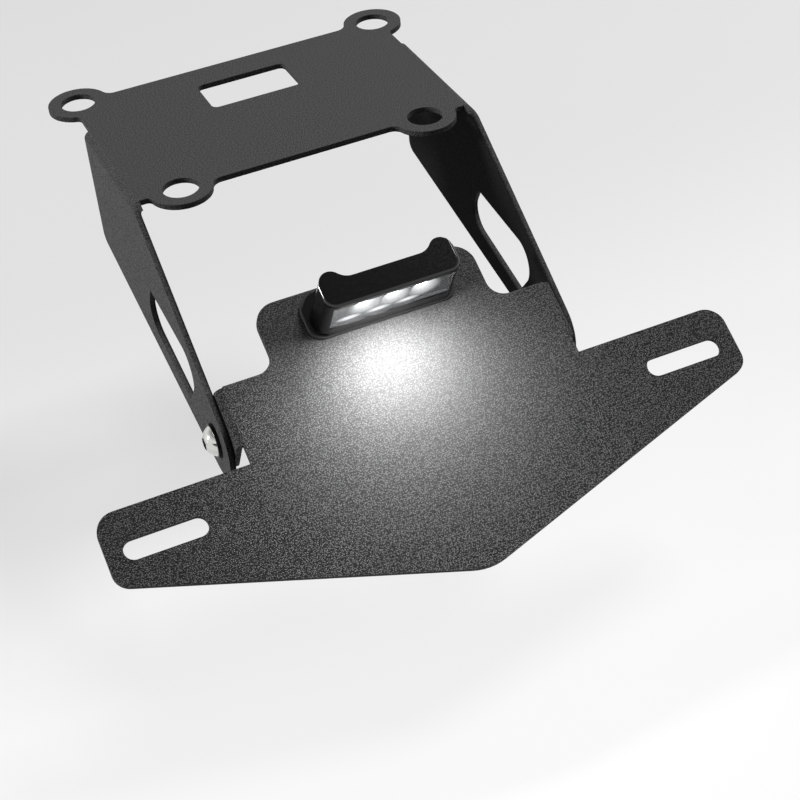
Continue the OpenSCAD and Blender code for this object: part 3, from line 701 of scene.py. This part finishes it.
class TidyStage(bpy.types.Operator):
    """Lays the floor, hangs the soft lights and sets the camera at the photograph's view."""
    bl_idname = "tidy.stage"
    bl_label = "Stage"

    def execute(self, context):
        stage = context.scene.tidy_stage
        self.lay_floor(stage)
        self.hang_light("key", KEY_TOWARDS, KEY_DISTANCE, KEY_WIDTH, stage.key_power)
        self.hang_light("side", SIDE_TOWARDS, SIDE_DISTANCE, SIDE_WIDTH, stage.side_power)
        self.fill_sky(context, stage)
        self.place_camera(context)
        context.scene.view_settings.view_transform = "Standard"
        return {"FINISHED"}

    def lay_floor(self, stage):
        bm = bmesh.new()
        bmesh.ops.create_grid(
            bm, x_segments=1, y_segments=1, size=FLOOR_HALF,
            matrix=Matrix.Translation((0, 0, stage.floor_level)))
        mesh = bpy.data.meshes.new("floor")
        bm.to_mesh(mesh)
        bm.free()
        mesh.materials.append(stage_floor(stage.floor_colour))
        show(mesh, "floor")

    def hang_light(self, name, direction, distance, size, power):
        light = bpy.data.lights.new(name, "AREA")
        light.shape = "DISK"
        light.size = size
        light.energy = power
        source = bpy.data.objects.new(name, light)
        bpy.context.scene.collection.objects.link(source)
        towards = direction.normalized()
        source.location = VIEW_TARGET + towards * distance
        source.rotation_mode = "QUATERNION"
        source.rotation_quaternion = (-towards).to_track_quat("-Z", "Y")

    def fill_sky(self, context, stage):
        world = bpy.data.worlds.new("Even sky")
        world.use_nodes = True
        tree = world.node_tree
        tree.nodes.clear()
        # The room is pale at eye level and dim under its ceiling
        towards = add_node(tree, "TexCoord")["Generated"]
        upwards = add_node(tree, "SeparateXYZ", {"Vector": towards})["Z"]
        pale = add_node(tree, "MapRange", {
            "Value": upwards, "From Min": 0.3, "From Max": 0.9,
            "To Min": 1.0, "To Max": 0.1})["Result"]
        strength = add_node(tree, "MapRange", {
            "Value": seen_directly(tree), "To Min": stage.sky_strength, "To Max": pale})["Result"]
        sky = add_node(
            tree, "Background", {"Color": rgba(linear("#ffffff")), "Strength": strength})
        add_node(tree, "OutputWorld", {"Surface": sky["Background"]})
        context.scene.world = world

    def place_camera(self, context):
        azimuth, elevation, roll = (
            math.radians(a) for a in (VIEW_AZIMUTH, VIEW_ELEVATION, VIEW_ROLL))
        back = Vector((
            math.sin(azimuth) * math.cos(elevation),
            -math.cos(azimuth) * math.cos(elevation),
            math.sin(elevation)))
        level = Vector((math.cos(azimuth), math.sin(azimuth), 0))
        upright = back.cross(level)
        right = level * math.cos(roll) + upright * math.sin(roll)
        up = upright * math.cos(roll) - level * math.sin(roll)
        turn = Matrix((right, up, back)).transposed().to_4x4()
        data = bpy.data.cameras.new("camera")
        data.lens = VIEW_LENS
        data.sensor_width = 36
        data.clip_start = 0.01
        camera = bpy.data.objects.new("camera", data)
        camera.matrix_world = Matrix.Translation(VIEW_TARGET + back * VIEW_DISTANCE) @ turn
        context.scene.collection.objects.link(camera)
        context.scene.camera = camera


class TidyPanel(bpy.types.Panel):
    """Lists the pieces of the tail tidy, with their sizes and colours."""
    bl_label = "Tail tidy"
    bl_idname = "TIDY_PT_pieces"
    bl_space_type = "VIEW_3D"
    bl_region_type = "UI"
    bl_category = "Tail tidy"

    def draw(self, context):
        for group in SETTINGS:
            settings = getattr(context.scene, group)
            box = self.layout.box()
            for name in settings.__annotations__:
                box.prop(settings, name)
        for operator in OPERATORS:
            self.layout.operator(operator.bl_idname)


SETTINGS = {
    "tidy_coats": TidyCoatSettings,
    "tidy_lamp": TidyLampSettings,
    "tidy_stage": TidyStageSettings,
}
OPERATORS = (
    TidyBracket, TidyHolder, TidyTiltScrews, TidyLampShell, TidyLightUnit, TidyLampScrews,
    TidyStage)


def register():
    for cls in (*SETTINGS.values(), *OPERATORS, TidyPanel):
        bpy.utils.register_class(cls)
    for name, group in SETTINGS.items():
        setattr(bpy.types.Scene, name, bpy.props.PointerProperty(type=group))


def unregister():
    for name in SETTINGS:
        delattr(bpy.types.Scene, name)
    for cls in reversed((*SETTINGS.values(), *OPERATORS, TidyPanel)):
        bpy.utils.unregister_class(cls)


def main():
    """Makes every piece in order."""
    register()
    bpy.ops.tidy.bracket()
    bpy.ops.tidy.holder()
    bpy.ops.tidy.tilt_screws()
    bpy.ops.tidy.lamp_shell()
    bpy.ops.tidy.light_unit()
    bpy.ops.tidy.lamp_screws()
    bpy.ops.tidy.stage()


if __name__ == "__main__":
    main()
